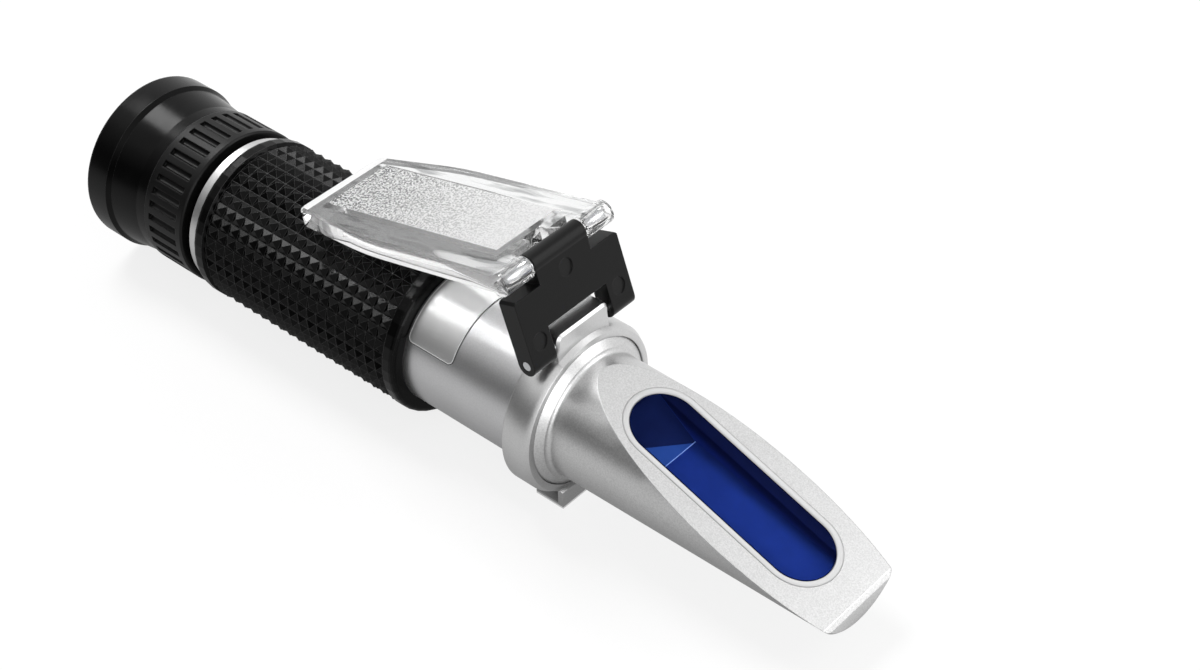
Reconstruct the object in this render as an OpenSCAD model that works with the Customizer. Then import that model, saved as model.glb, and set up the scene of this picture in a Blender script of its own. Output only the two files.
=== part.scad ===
// Hand-held brix refractometer, lying on the foot of its hinge collar and on its eyecup.
// The optical axis runs along X, with the prism head at +X and the eyecup at -X.
// Inside the modules x = 0 is the front end of the rubber grip and z = 0 is the optical axis.

/* [Barrel] */
// Outside diameter of the barrel tube
tube_d = 25; // [24:0.5:26]
// Wall of the barrel tube
tube_wall = 1.5; // [1.2:0.1:1.8]
// Length of bare tube between the grip and the hinge collar
tube_show = 24.3; // [22:0.1:40]
// Radial play of turning and sliding fits
running_gap = 0.05; // [0.02:0.01:0.08]
// Gap at loose seats and rest stops
seat_gap = 0.3; // [0.2:0.05:0.4]

/* [Grip] */
// Length of the rubber grip
grip_len = 49; // [44:0.5:70]
// Diameter of the grip over its pyramids
grip_d = 30; // [29:0.5:31]
// Height of the pyramids
knurl_depth = 0.75; // [0.4:0.05:0.9]
// Spacing of the pyramids, rounded to fill the grip
knurl_pitch = 2.3; // [2:0.1:4]
// Width of the smooth rim at each end of the grip
grip_rim = 2.7; // [1.5:0.1:4]
// Rounding of the rims
grip_round = 0.9; // [0.3:0.1:1]

/* [Hinge collar] */
// Outside diameter of the collar
collar_d = 30.1; // [29.5:0.1:31]
// Length of the collar along the barrel
collar_len = 5.5; // [5:0.1:7]
// Length of tube that the collar grips
collar_grip = 3.2; // [2.5:0.1:4]
// Radial depth of the bevel on the front rim
collar_bevel = 0.65; // [0.3:0.05:0.8]
// Length of the bevel on the front rim
collar_bevel_len = 1.2; // [0.6:0.1:1.6]
// Width of the hinge boss
boss_w = 11.9; // [9:0.1:12.4]
// Length of the hinge boss
boss_len = 4.6; // [4:0.1:5]
// Height of the boss above the collar
boss_rise = 3.65; // [3.2:0.05:3.8]
// Rounding of the upper corners of the boss
boss_round = 1.3; // [0.5:0.1:2]
// Width of the foot
foot_w = 15.6; // [12:0.1:18]
// How far the foot stands below the collar
foot_drop = 0.7; // [0.4:0.05:1]
// Wall of the foot
foot_wall = 0.8; // [0.6:0.05:1]
// Height of the foot's front wall
foot_front = 3.55; // [2.6:0.05:3.8]
// Width of the web between the foot and the collar
foot_web = 5; // [3:0.5:7]

/* [Prism head] */
// Diameter at the root of the head
head_root_d = 22.14; // [21.5:0.1:22.6]
// Diameter at the nose
head_tip_d = 21.4; // [20.6:0.1:21.6]
// Length of the head in front of the collar
head_len = 54.3; // [52:0.1:60]
// Diameter of the root flange
flange_d = 26.4; // [25.6:0.1:26.8]
// Length of the flange's bevel
flange_bevel = 0.9; // [0.5:0.1:1.2]
// Fillet between the flange and the head
root_fillet = 0.8; // [0.4:0.1:1.2]
// Slope of the prism face
face_angle = 19.12; // [18:0.1:19.4]
// Depth of the prism face below the axis at the nose
nose_drop = 6.62; // [6.2:0.1:6.9]
// Width of the chamfer across the nose
nose_chamfer = 1; // [0.5:0.1:1.4]
// Length of the head's spigot inside the tube
spigot_len = 5; // [4:0.1:5.4]
// Radius of the light duct in the head
duct_r = 5; // [4:0.1:5.2]
// Height of the light duct above the axis
duct_rise = 2.2; // [1.8:0.1:2.6]

/* [Measuring prism] */
// Width of the prism window
window_w = 11.7; // [10:0.1:12.2]
// Length of the prism window
window_len = 39.7; // [36:0.1:40.4]
// Distance from the nose edge to the middle of the window
window_back = 26.47; // [25.8:0.05:27]
// Width of the seal round the prism
seal_w = 1.05; // [0.8:0.05:1.3]
// How far the seal's rounded bead stands above the prism face
seal_rise = 0.1; // [0.05:0.01:0.1]
// Depth of the seal
seal_depth = 1.2; // [0.8:0.1:1.5]
// Depth of the prism at its heel
prism_heel_depth = 5.9; // [4.5:0.1:6.2]
// Depth of the prism at its toe
prism_toe_depth = 2.9; // [2:0.1:3.1]
// Length of the sloping exit face, measured along the window
prism_exit_len = 9.1; // [7:0.1:11]
// Cement gap round the prism
cement_gap = 0.08; // [0.05:0.01:0.1]

/* [Hinge link] */
// Width of the link
link_w = 23.5; // [22:0.1:24]
// Thickness of the link
link_t = 3.5; // [3:0.1:3.6]
// Distance between the two hinge pins
link_pitch = 14.55; // [14:0.05:15.5]
// Height of the shoulders above the lower pin
link_shoulder = 11.4; // [10.8:0.1:11.7]
// Lean of the link behind the vertical when the cover is open
link_lean = 19.2; // [15:0.1:24]
// Width of the gap between the ears
slot_w = 13.4; // [13:0.1:14]
// Height of that gap above the lower pin
slot_top = 4.7; // [4.4:0.1:6]
// Width of the tongue
tongue_w = 11.7; // [9:0.1:12]
// Diameter of the tongue's barrel
barrel_d = 3.8; // [3.4:0.1:4]
// Chamfer on the outer corners of the link
link_chamfer = 0.4; // [0.2:0.1:1.2]
// Diameter of the hinge pins
hinge_pin_d = 1.6; // [1.2:0.1:1.8]
// Depth of the upper pin's ends below the plate's sides
pin_sink = 1.2; // [0.8:0.1:2]
// Lower pin, from the rear face of the collar
hinge_back = 3.3; // [3.1:0.05:3.5]
// Lower pin, above the collar
hinge_rise = 1.1; // [1:0.05:1.3]

/* [Daylight plate] */
// Length of the plate from its pin to its far edge
plate_len = 49.6; // [48:0.1:52]
// Width of the plate
plate_w = 24.2; // [23.4:0.1:25]
// Width of the plate at its far edge
plate_end_w = 19; // [15:0.1:24]
// Distance from the pin to where the plate starts to narrow
plate_straight = 31; // [24:0.5:40]
// Underside of the plate below its pin
plate_under = 2; // [1.8:0.05:2.2]
// Upper side of the plate above its pin
plate_over = 1.8; // [1.4:0.05:1.95]
// Inset of the plate's upper edge
plate_inset = 0.45; // [0.2:0.05:0.8]
// Chamfer along the plate's lower side edges
plate_chamfer = 0.5; // [0.2:0.05:0.8]
// Diameter of the hinge knuckles
knuckle_d = 4; // [3.6:0.1:4.2]
// Height of the frosted pad
pad_rise = 0.4; // [0.2:0.05:0.5]
// Width of the frosted pad
pad_w = 13.4; // [11:0.1:16]
// Where the pad starts, from the pin
pad_start = 5; // [4.6:0.1:8]
// Bare margin beyond the pad
pad_margin = 4.6; // [3:0.1:8]
// Slope round the pad
pad_edge = 0.8; // [0.4:0.1:1]

/* [Calibration] */
// Calibration screw, behind the collar
cal_back = 6.3; // [5:0.1:8]
// Diameter of the calibration screw
cal_d = 3; // [2.5:0.1:3.5]
// Depth of the screw's end below the tube's surface
cal_sink = 0.2; // [0.1:0.05:0.4]
// Width of the screwdriver slot
cal_slot = 0.5; // [0.4:0.05:0.8]
// Thickness of the bimetal strip
strip_t = 0.8; // [0.5:0.1:1]
// Width of the bimetal strip
strip_w = 6; // [5:0.1:7]
// Free length of the strip between its mount and the lens cell
strip_free = 13; // [11:0.5:15]
// Diameter of the strip's screws
strip_screw_d = 1.4; // [1:0.1:1.6]
// Outside diameter of the lens cell
cell_d = 13.6; // [13:0.1:14]
// Length of the lens cell
cell_len = 7.5; // [7:0.1:8]
// Diameter of the objective lens
objective_d = 11; // [9:0.1:11.4]
// Thickness of the objective lens at its middle
objective_t = 3; // [2.6:0.1:3.6]

/* [Eyepiece] */
// Length of the eyepiece behind the grip
eye_len = 27.7; // [26.5:0.1:30]
// Diameter of the fixed ring behind the grip
socket_d = 28; // [26:0.1:29.6]
// Width of the fixed ring behind the grip
socket_ring = 2.2; // [1.5:0.1:3]
// Depth of the socket inside the tube
socket_len = 11; // [9:0.5:14]
// Inside diameter of the socket
socket_bore = 18; // [17:0.1:18.4]
// Length of the neck behind the fixed ring
neck_len = 5; // [4:0.1:5.4]
// Gap between the fixed ring and the focus ring
focus_gap = 1.2; // [1:0.1:1.6]
// Outside diameter of the focus ring
focus_d = 29.4; // [28.4:0.1:30.4]
// Length of the knurled part of the focus ring
focus_len = 10; // [9.4:0.1:12]
// Number of flutes round the focus ring
flutes = 36; // [24:1:48]
// Length of the hub that carries the eyecup
hub_len = 4.5; // [4:0.1:6]
// Diameter of that hub
hub_d = 23; // [22.4:0.1:23.6]
// Wall of the hub round the snap ring
hub_wall = 1.05; // [0.8:0.05:1.3]
// Wall of the lens barrel
barrel_wall = 1.4; // [1.2:0.1:1.6]
// Thickness of the reticle
reticle_t = 1.5; // [1:0.1:2]
// Thickness of the field lens
field_lens_t = 3.5; // [3:0.1:4]
// Thickness of the eye lens
eye_lens_t = 4.5; // [4:0.1:5]
// Depth of the eyecup's hollow
cup_depth = 6.5; // [5.5:0.1:7]
// Thickness of the eyecup's lip
cup_lip = 1.2; // [0.8:0.1:2]

/* [Hidden] */
$fn = 96;

// How far a cut runs past what it cuts
overrun = 1;
// Small edge breaks on metal parts
edge_break = 0.3;

tube_r = tube_d / 2;
bore_r = tube_r - tube_wall;
grip_r = grip_d / 2;
collar_r = collar_d / 2;
collar_x = tube_show;
collar_front = collar_x + collar_len;
tube_front = collar_x + collar_grip;
tip_x = collar_front + head_len;
rear_x = -grip_len - eye_len;
foot_z = -collar_r - foot_drop;
eyecup_r = -foot_z;

// Hinge pins, as [x, z]
low_pin = [collar_x + hinge_back, collar_r + hinge_rise];
high_pin = [low_pin[0] - link_pitch * sin(link_lean), low_pin[1] + link_pitch * cos(link_lean)];
// The open plate rests with the lower corner of its far edge on the grip
plate_tilt = asin((high_pin[1] - grip_r - seat_gap) / norm([plate_len, plate_under]))
    - atan(plate_under / plate_len);

module placed() {
    translate([-(tip_x + rear_x) / 2, 0, -foot_z]) children();
}

// Turns an outline of [x, radius] points about the optical axis
module revolved(outline) {
    rotate([0, 90, 0]) rotate_extrude() polygon([for (p = outline) [p[1], p[0]]]);
}

module rod_x(x0, x1, r) {
    translate([x0, 0, 0]) rotate([0, 90, 0]) cylinder(h = x1 - x0, r = r);
}

module rod_y(width, r) {
    rotate([90, 0, 0]) cylinder(h = width, r = r, center = true);
}

module pipe(x0, x1, outer_r, inner_r) {
    difference() {
        rod_x(x0, x1, outer_r);
        rod_x(x0 - overrun, x1 + overrun, inner_r);
    }
}

// Carries an outline drawn as (x, z) across the width
module across(width) {
    rotate([90, 0, 0]) translate([0, 0, -width / 2]) linear_extrude(width) children();
}

// Carries an outline drawn as (y, z) along X
module along(x0, x1) {
    translate([x0, 0, 0]) rotate([90, 0, 90]) linear_extrude(x1 - x0) children();
}

// Origin on the nose edge, X down the prism face towards the nose, Z out of the face
module on_face() {
    translate([tip_x, 0, -nose_drop]) rotate([0, face_angle, 0]) children();
}

module obround(length, width) {
    square([length - width, width], center = true);
    for (side = [-1, 1]) translate([side * (length - width) / 2, 0]) circle(d = width);
}

module placed_link() {
    placed() translate([low_pin[0], 0, low_pin[1]]) rotate([0, -link_lean, 0]) children();
}

module placed_plate() {
    placed() translate([high_pin[0], 0, high_pin[1]]) rotate([0, -plate_tilt, 0])
        rotate([0, 0, 180]) children();
}

// A lens with a flat rim from x0 to x1, bulged by sag on both sides within its clear radius
module lens(x0, x1, r, clear_r, sag) {
    steps = 12;
    ball = (clear_r * clear_r + sag * sag) / (2 * sag);
    function bulge(share) = sqrt(ball * ball - pow(clear_r * share, 2)) - ball + sag;
    revolved(concat(
        [for (i = [0 : steps]) [x0 - bulge(i / steps), clear_r * i / steps]],
        [[x0, r], [x1, r]],
        [for (i = [steps : -1 : 0]) [x1 + bulge(i / steps), clear_r * i / steps]]));
}

cal_x = collar_x - cal_back;

module body_tube() {
    color("silver") placed() difference() {
        pipe(-grip_len, tube_front, tube_r, bore_r);
        translate([cal_x, 0, 0]) cylinder(h = tube_d, r = cal_d / 2 + running_gap);
    }
}

// Rows of square pyramids round the grip and columns of them along it
knurl_len = grip_len - 2 * grip_rim;
knurl_columns = round(knurl_len / knurl_pitch);
knurl_rows = round(PI * grip_d / knurl_pitch);
valley_r = grip_r - knurl_depth;

// The sleeve is one skin of rings round the axis, from the rear of its bore to the front of its bore
module grip_sleeve() {
    turn = 360 / knurl_rows;
    bore = tube_r / cos(turn / 2);
    arc = [for (a = [0 : 22.5 : 90])
        [-grip_round + grip_round * sin(a), grip_r - grip_round + grip_round * cos(a)]];
    front_rim = concat([[knurl_depth / 2 - grip_rim, grip_r]], arc, [[0, bore]]);
    rear_rim = [for (i = [len(front_rim) - 1 : -1 : 0]) [-grip_len - front_rim[i][0], front_rim[i][1]]];
    valleys = [for (i = [0 : knurl_columns])
        [-grip_len + grip_rim + knurl_len * i / knurl_columns, valley_r]];
    rings = concat(rear_rim, valleys, front_rim);
    first = len(rear_rim);
    last = first + knurl_columns;

    function ring_point(x, r, angle) = [x, r * sin(angle), r * cos(angle)];
    function corner(i, j) = (i % len(rings)) * knurl_rows + j % knurl_rows;
    function peak(i, j) = len(rings) * knurl_rows + (i - first) * knurl_rows + j;
    function is_knurled(i) = i >= first && i < last;

    corners = [for (ring = rings) for (j = [0 : knurl_rows - 1]) ring_point(ring[0], ring[1], j * turn)];
    peaks = [for (i = [first : last - 1]) for (j = [0 : knurl_rows - 1])
        ring_point((rings[i][0] + rings[i + 1][0]) / 2, grip_r, (j + 0.5) * turn)];
    faces = [for (i = [0 : len(rings) - 1]) for (j = [0 : knurl_rows - 1])
        let (a = corner(i, j), b = corner(i + 1, j), c = corner(i + 1, j + 1), d = corner(i, j + 1))
        each is_knurled(i)
            ? [for (edge = [[a, b], [b, c], [c, d], [d, a]]) [edge[1], edge[0], peak(i, j)]]
            : [[a, d, c, b]]];
    color("#1b1b1c") placed() polyhedron(concat(corners, peaks), faces);
}

module boss_outline() {
    boss_top = collar_r + boss_rise;
    square_top = boss_top - boss_round;
    translate([-boss_w / 2, tube_r]) square([boss_w, square_top - tube_r]);
    translate([-boss_w / 2 + boss_round, tube_r]) square([boss_w - 2 * boss_round, boss_top - tube_r]);
    for (side = [-1, 1])
        translate([side * (boss_w / 2 - boss_round), square_top]) circle(r = boss_round);
}

module hinge_collar() {
    flange_seat = flange_d / 2 + cement_gap;
    foot_x0 = collar_x + foot_wall / 2;
    foot_x1 = collar_front + foot_wall;
    color("#d2d3d5") placed() difference() {
        union() {
            revolved([
                [collar_x, tube_r], [collar_x, collar_r - edge_break], [collar_x + edge_break, collar_r],
                [collar_front - collar_bevel_len, collar_r], [collar_front, collar_r - collar_bevel],
                [collar_front, flange_seat], [tube_front, flange_seat], [tube_front, tube_r]]);
            difference() {
                along(collar_front - boss_len, collar_front) boss_outline();
                rod_x(collar_x - overrun, collar_front + overrun, flange_seat);
                translate([collar_front, 0, collar_r + boss_rise]) rotate([0, 45, 0])
                    cube([2 * edge_break, link_w, 2 * edge_break], center = true);
            }
            difference() {
                union() {
                    translate([foot_x0, -foot_w / 2, foot_z])
                        cube([foot_x1 - foot_x0, foot_w, foot_wall]);
                    translate([collar_front - edge_break, -foot_w / 2, foot_z])
                        cube([foot_wall + edge_break, foot_w, foot_front]);
                    translate([foot_x0, -foot_web / 2, foot_z])
                        cube([collar_front - foot_x0, foot_web, foot_drop + tube_wall]);
                }
                rod_x(collar_x - overrun, foot_x1 + overrun, flange_seat);
            }
        }
        translate([low_pin[0], 0, low_pin[1]]) rod_y(link_w, hinge_pin_d / 2);
    }
}

module prism_block(grow) {
    half = window_len / 2;
    toe = half + grow;
    heel = prism_exit_len - half;
    intersection() {
        translate([0, 0, -tube_r]) linear_extrude(tube_r + overrun)
            obround(window_len + 2 * grow, window_w + 2 * grow);
        across(window_w + 2 * grow) polygon([
            [-half - grow, grow], [toe, grow], [toe, -prism_toe_depth - grow],
            [heel - grow, -prism_heel_depth - grow], [-half - grow, -grow]]);
    }
}

// Section radius of the O-ring
o_ring_r = tube_wall * 0.27;

module head_outline() {
    o_ring_x = tube_front - spigot_len / 2;
    root_r = head_root_d / 2;
    fillet_x = collar_front + flange_bevel;
    fillet = [for (a = [0 : 15 : 90])
        [fillet_x + root_fillet * (1 - cos(a)), root_r + root_fillet * (1 - sin(a))]];
    revolved(concat([
        [tube_front - spigot_len, 0], [tube_front - spigot_len, bore_r - edge_break],
        [tube_front - spigot_len + edge_break, bore_r],
        [o_ring_x - tube_wall / 2, bore_r], [o_ring_x - tube_wall / 2, bore_r - 2 * o_ring_r],
        [o_ring_x + tube_wall / 2, bore_r - 2 * o_ring_r], [o_ring_x + tube_wall / 2, bore_r],
        [tube_front, bore_r], [tube_front, flange_d / 2],
        [collar_front - edge_break, flange_d / 2], [collar_front, flange_d / 2 - edge_break]],
        fillet,
        [[tip_x - edge_break, head_tip_d / 2], [tip_x, head_tip_d / 2 - edge_break], [tip_x, 0]]));
}

module prism_head() {
    bisector = (face_angle + 90) / 2;
    chamfer_depth = nose_chamfer / (2 * tan(bisector));
    duct_end = tip_x - (window_back + window_len / 2 - prism_exit_len) * cos(face_angle);
    face_len = (head_len - flange_bevel - root_fillet) / cos(face_angle);
    color("#d7d8da") placed() difference() {
        head_outline();
        on_face() translate([-face_len, -tube_r, 0]) cube([face_len + tube_d, tube_d, tube_d]);
        translate([tip_x, 0, -nose_drop]) rotate([0, bisector, 0])
            translate([-tube_r, -tube_r, -chamfer_depth]) cube([tube_d, tube_d, tube_r]);
        on_face() translate([-window_back, 0, 0]) prism_block(cement_gap);
        on_face() translate([-window_back, 0, -seal_depth]) linear_extrude(seal_depth + overrun)
            obround(window_len + 2 * seal_w, window_w + 2 * seal_w);
        translate([0, 0, duct_rise]) rod_x(tube_front - spigot_len - overrun, duct_end, duct_r);
    }
}

module measuring_prism() {
    color([0.1, 0.22, 0.62, 0.9]) placed() on_face() translate([-window_back, 0, 0]) prism_block(0);
}

// Half of the seal's section, from the prism's side outwards, with a round top
module seal_section() {
    bead_r = seal_w / 2 - cement_gap / 4;
    middle = (window_w + seal_w) / 2 + cement_gap / 4;
    polygon(concat([[middle - bead_r, -seal_depth]],
        [for (a = [0 : 15 : 180]) [middle - bead_r * cos(a), seal_rise - bead_r + bead_r * sin(a)]],
        [[middle + bead_r, -seal_depth]]));
}

module prism_seal() {
    half = (window_len - window_w) / 2;
    color("#d9d4c8") placed() on_face() translate([-window_back, 0, 0])
        for (side = [0, 180]) rotate([0, 0, side]) {
            along(-half, half) seal_section();
            translate([half, 0, 0]) rotate([0, 0, -90]) rotate_extrude(angle = 180) seal_section();
        }
}

module head_o_ring() {
    color("black") placed() translate([tube_front - spigot_len / 2, 0, 0]) rotate([0, 90, 0])
        rotate_extrude() translate([bore_r - o_ring_r, 0]) circle(r = o_ring_r, $fn = 32);
}

module lower_hinge_pin() {
    color("gainsboro") placed() translate([low_pin[0], 0, low_pin[1]])
        rod_y(link_w - 2 * running_gap, hinge_pin_d / 2);
}

// The link as seen from the side, from the lower pin up to the barrel of the tongue
module link_side() {
    circle(d = link_t);
    translate([-link_t / 2, 0]) square([link_t, link_pitch]);
    translate([0, link_pitch]) circle(d = barrel_d);
}

// The link as seen from the front
module link_front() {
    half = link_w / 2;
    top = link_pitch + barrel_d;
    difference() {
        polygon([
            [-half, -link_t], [half, -link_t], [half, link_shoulder - link_chamfer],
            [half - link_chamfer, link_shoulder], [tongue_w / 2, link_shoulder], [tongue_w / 2, top],
            [-tongue_w / 2, top], [-tongue_w / 2, link_shoulder],
            [link_chamfer - half, link_shoulder], [-half, link_shoulder - link_chamfer]]);
        translate([-slot_w / 2, -2 * link_t]) square([slot_w, 2 * link_t + slot_top]);
    }
}

// Shallow ejector marks on the front face, as shares of the half width and of the shoulder height
mark_shares = [[0, 1], [0.77, 0.26], [-0.77, 0.29]];

module hinge_link() {
    mark_r = link_t * 0.42;
    mark_depth = mark_r / 12;
    color("#26272a") placed_link() difference() {
        intersection() {
            across(link_w) link_side();
            along(-link_t, link_t) link_front();
        }
        rod_y(2 * link_w, hinge_pin_d / 2 + running_gap);
        translate([0, 0, link_pitch]) rod_y(2 * link_w, hinge_pin_d / 2);
        for (share = mark_shares)
            translate([link_t / 2 - mark_depth, share[0] * link_w / 2, share[1] * link_shoulder])
                rotate([0, 90, 5]) cylinder(h = link_t, r = mark_r, $fn = 32);
    }
}

module upper_hinge_pin() {
    color("gainsboro") placed_link() translate([0, 0, link_pitch])
        rod_y(plate_w - 2 * pin_sink, hinge_pin_d / 2);
}

// One level of the plate, drawn in by inset at its sides and by end_inset at its far edge
module plate_layer(z, inset, end_inset) {
    half = plate_w / 2 - inset;
    end_half = plate_end_w / 2 - inset;
    end = plate_len - end_inset;
    corner = 2 * edge_break;
    soften = link_t;
    slope = (half - end_half) / (plate_len - plate_straight);
    side = [[0, half], [plate_straight - soften, half], [plate_straight, half - slope * soften / 4],
        [plate_straight + soften, half - slope * soften], [end - corner, end_half], [end, end_half - corner]];
    translate([0, 0, z]) linear_extrude(running_gap)
        polygon(concat(side, [for (i = [len(side) - 1 : -1 : 0]) [side[i][0], -side[i][1]]]));
}

module frosted_pad() {
    pad_len = plate_len - pad_start - pad_margin;
    module layer(z, grow)
        translate([pad_start - grow, -pad_w / 2 - grow, z])
            cube([pad_len + 2 * grow, pad_w + 2 * grow, running_gap]);
    hull() {
        layer(plate_over - running_gap, pad_edge);
        layer(plate_over + pad_rise - running_gap, 0);
    }
}

module daylight_plate() {
    knuckle_in = tongue_w / 2 + seat_gap;
    notch = barrel_d / 2 + seat_gap * 2;
    color([0.93, 0.96, 0.98, 0.6]) placed_plate() difference() {
        union() {
            hull() {
                plate_layer(-plate_under, plate_chamfer, 0);
                plate_layer(plate_chamfer - plate_under, 0, 0);
                plate_layer(plate_over - plate_inset, 0, 0);
                plate_layer(plate_over - running_gap, plate_inset, plate_inset);
            }
            frosted_pad();
            rod_y(plate_w, knuckle_d / 2);
        }
        translate([-knuckle_d, -knuckle_in, -knuckle_d])
            cube([knuckle_d + notch, 2 * knuckle_in, 2 * knuckle_d]);
        translate([0, -tongue_w / 6, -knuckle_d])
            cube([notch + link_t / 2, tongue_w / 3, 2 * knuckle_d]);
        rod_y(2 * plate_w, hinge_pin_d / 2 + running_gap);
    }
}

// Height of the strip's underside above the axis
strip_z = cell_d / 2 + strip_t;
strip_root = cal_x - strip_free - cell_len / 2;
mount_len = 5;

module calibration_screw() {
    top = tube_r - cal_sink;
    tip = strip_z + strip_t + seat_gap;
    color("silver") placed() translate([cal_x, 0, 0]) difference() {
        translate([0, 0, tip]) cylinder(h = top - tip, r = cal_d / 2);
        translate([-cal_d, -cal_slot / 2, top - cal_slot]) cube([2 * cal_d, cal_slot, 2 * cal_slot]);
    }
}

module lens_mount() {
    pad_z = strip_z + strip_t + 2 * running_gap;
    color("dimgray") placed() difference() {
        union() {
            pipe(strip_root - mount_len, strip_root, bore_r, bore_r - tube_wall);
            intersection() {
                rod_x(strip_root - mount_len, strip_root, bore_r);
                translate([strip_root - mount_len, -strip_w / 2, pad_z])
                    cube([mount_len, strip_w, bore_r]);
            }
        }
        at_strip_screws() cylinder(h = tube_r, r = strip_screw_d / 2);
    }
}

module at_strip_screws() {
    for (side = [-1, 1])
        translate([strip_root - mount_len / 2, side * strip_w / 4, 0]) children();
}

module screw_head_up(z) {
    translate([0, 0, z - strip_screw_d / 2]) cylinder(h = strip_screw_d / 2, r = strip_screw_d * 0.8);
    translate([0, 0, z - edge_break]) cylinder(h = bore_r - edge_break - z, r = strip_screw_d / 2);
}

module strip_screws() {
    color("silver") placed() at_strip_screws() screw_head_up(strip_z - 2 * running_gap);
}

module bimetal_strip() {
    color("darkgoldenrod") placed() difference() {
        translate([strip_root - mount_len, -strip_w / 2, strip_z])
            cube([mount_len + strip_free + cell_len, strip_w, strip_t]);
        at_strip_screws() cylinder(h = tube_r, r = strip_screw_d / 2 + 2 * running_gap);
        at_cell_screws() cylinder(h = tube_r, r = strip_screw_d / 2);
    }
}

cell_x = cal_x - cell_len / 2;

module at_cell_screws() {
    for (share = [-1, 1]) translate([cell_x + cell_len / 2, share * strip_w / 4, 0]) children();
}

module cell_screws() {
    color("silver") placed() at_cell_screws() {
        translate([0, 0, objective_d / 2 + edge_break * 2])
            cylinder(h = strip_z + strip_t - objective_d / 2 - edge_break * 2, r = strip_screw_d / 2);
    }
}

module lens_cell() {
    color("dimgray") placed() difference() {
        union() {
            rod_x(cell_x, cell_x + cell_len, cell_d / 2);
            translate([cell_x, -strip_w / 2, 0]) cube([cell_len, strip_w, strip_z]);
        }
        rod_x(cell_x + tube_wall, cell_x + cell_len + overrun, objective_d / 2);
        rod_x(cell_x - overrun, cell_x + 2 * tube_wall, objective_d / 2 - edge_break * 2);
        at_cell_screws() translate([0, 0, objective_d / 2 + edge_break * 2])
            cylinder(h = tube_r, r = strip_screw_d / 2);
    }
}

module objective_lens() {
    rim = objective_t / 2;
    start = cell_x + tube_wall;
    color([0.8, 0.9, 0.95, 0.6]) placed()
        lens(start, start + rim, objective_d / 2, objective_d / 2 - edge_break * 2, (objective_t - rim) / 2);
}

module lens_ring() {
    start = cell_x + tube_wall + objective_t / 2;
    color("dimgray") placed() pipe(start, start + tube_wall, objective_d / 2, objective_d / 2 - edge_break * 2);
}

module light_baffle() {
    middle = -grip_len / 2;
    hole = socket_bore / 3;
    color("#202020") placed() revolved([
        [middle - tube_wall, bore_r], [middle - tube_wall, bore_r - tube_wall],
        [middle - edge_break, hole], [middle + edge_break, hole],
        [middle + edge_break, bore_r - tube_wall], [middle + tube_wall, bore_r - tube_wall],
        [middle + tube_wall, bore_r]]);
}

socket_r = socket_bore / 2;
socket_front = socket_len - grip_len;
holder_len = 2 * tube_wall + reticle_t;

module reticle_holder() {
    color("dimgray") placed() difference() {
        rod_x(socket_front, socket_front + holder_len, bore_r);
        rod_x(socket_front - overrun, socket_front + holder_len - tube_wall, socket_r);
        rod_x(socket_front, socket_front + holder_len + overrun, socket_r - tube_wall / 2);
    }
}

module reticle() {
    start = socket_front + tube_wall;
    color([0.85, 0.93, 0.97, 0.7]) placed() rod_x(start, start + reticle_t, socket_r);
}

module reticle_ring() {
    color("dimgray") placed() pipe(socket_front, socket_front + tube_wall, socket_r, socket_r - tube_wall);
}

guide_r = barrel_wall / 2;
guide_slot_w = 2 * (guide_r + running_gap);
guide_x = -grip_len + socket_len / 2;
neck_r = (socket_r + hub_d / 2) / 2 + edge_break;

module eyepiece_socket() {
    guide_travel = 2 * focus_gap + 2 * guide_r;
    color("silver") placed() difference() {
        revolved([
            [-grip_len - socket_ring - neck_len, socket_r], [-grip_len - socket_ring - neck_len, neck_r],
            [-grip_len - socket_ring, neck_r], [-grip_len - socket_ring, socket_d / 2 - edge_break],
            [-grip_len - socket_ring + edge_break, socket_d / 2],
            [-grip_len - edge_break, socket_d / 2], [-grip_len, socket_d / 2 - edge_break],
            [-grip_len, bore_r], [socket_front, bore_r], [socket_front, socket_r]]);
        translate([guide_x - guide_travel / 2, -guide_slot_w / 2, 0])
            cube([guide_travel, guide_slot_w, socket_r + barrel_wall]);
    }
}

barrel_r = socket_r - running_gap;
barrel_bore = barrel_r - barrel_wall;
ring_x1 = -grip_len - socket_ring - focus_gap;
hub_x0 = ring_x1 - focus_len - hub_len;
hub_recess_r = hub_d / 2 - hub_wall;
web_x0 = hub_x0 + 2 * tube_wall;
web_x1 = ring_x1 - neck_len - 2 * focus_gap - edge_break;
shoulder_x = web_x1 + running_gap;
barrel_rear = web_x0 - 2 * tube_wall;
snap_x = web_x0 - running_gap;
barrel_front = socket_front - 2 * tube_wall;
field_x = barrel_front - tube_wall;
lens_seat_r = barrel_bore - edge_break * 2;

module lens_barrel() {
    color("dimgray") placed() difference() {
        union() {
            rod_x(barrel_rear, barrel_front, barrel_r);
            rod_x(shoulder_x, shoulder_x + tube_wall / 2, neck_r);
        }
        rod_x(barrel_rear - overrun, field_x, barrel_bore);
        rod_x(field_x - overrun, barrel_front + overrun, lens_seat_r);
        pipe(snap_x - tube_wall / 2, snap_x, barrel_r + overrun, barrel_r - barrel_wall / 2);
        translate([guide_x, 0, 0]) cylinder(h = tube_r, r = guide_r);
    }
}

module guide_pin() {
    color("silver") placed() translate([guide_x, 0, barrel_bore + edge_break])
        cylinder(h = barrel_wall + socket_r / 12, r = guide_r);
}

field_rear = field_x - field_lens_t / 2;
eye_rear = barrel_rear + 2 * tube_wall;

module field_lens() {
    color([0.8, 0.9, 0.95, 0.6]) placed()
        lens(field_rear, field_x, barrel_bore, lens_seat_r, field_lens_t / 4);
}

module lens_spacer() {
    color("dimgray") placed() pipe(eye_rear + eye_lens_t / 2, field_rear, barrel_bore, lens_seat_r);
}

module eye_lens() {
    color([0.8, 0.9, 0.95, 0.6]) placed()
        lens(eye_rear, eye_rear + eye_lens_t / 2, barrel_bore, lens_seat_r, eye_lens_t / 4);
}

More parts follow.
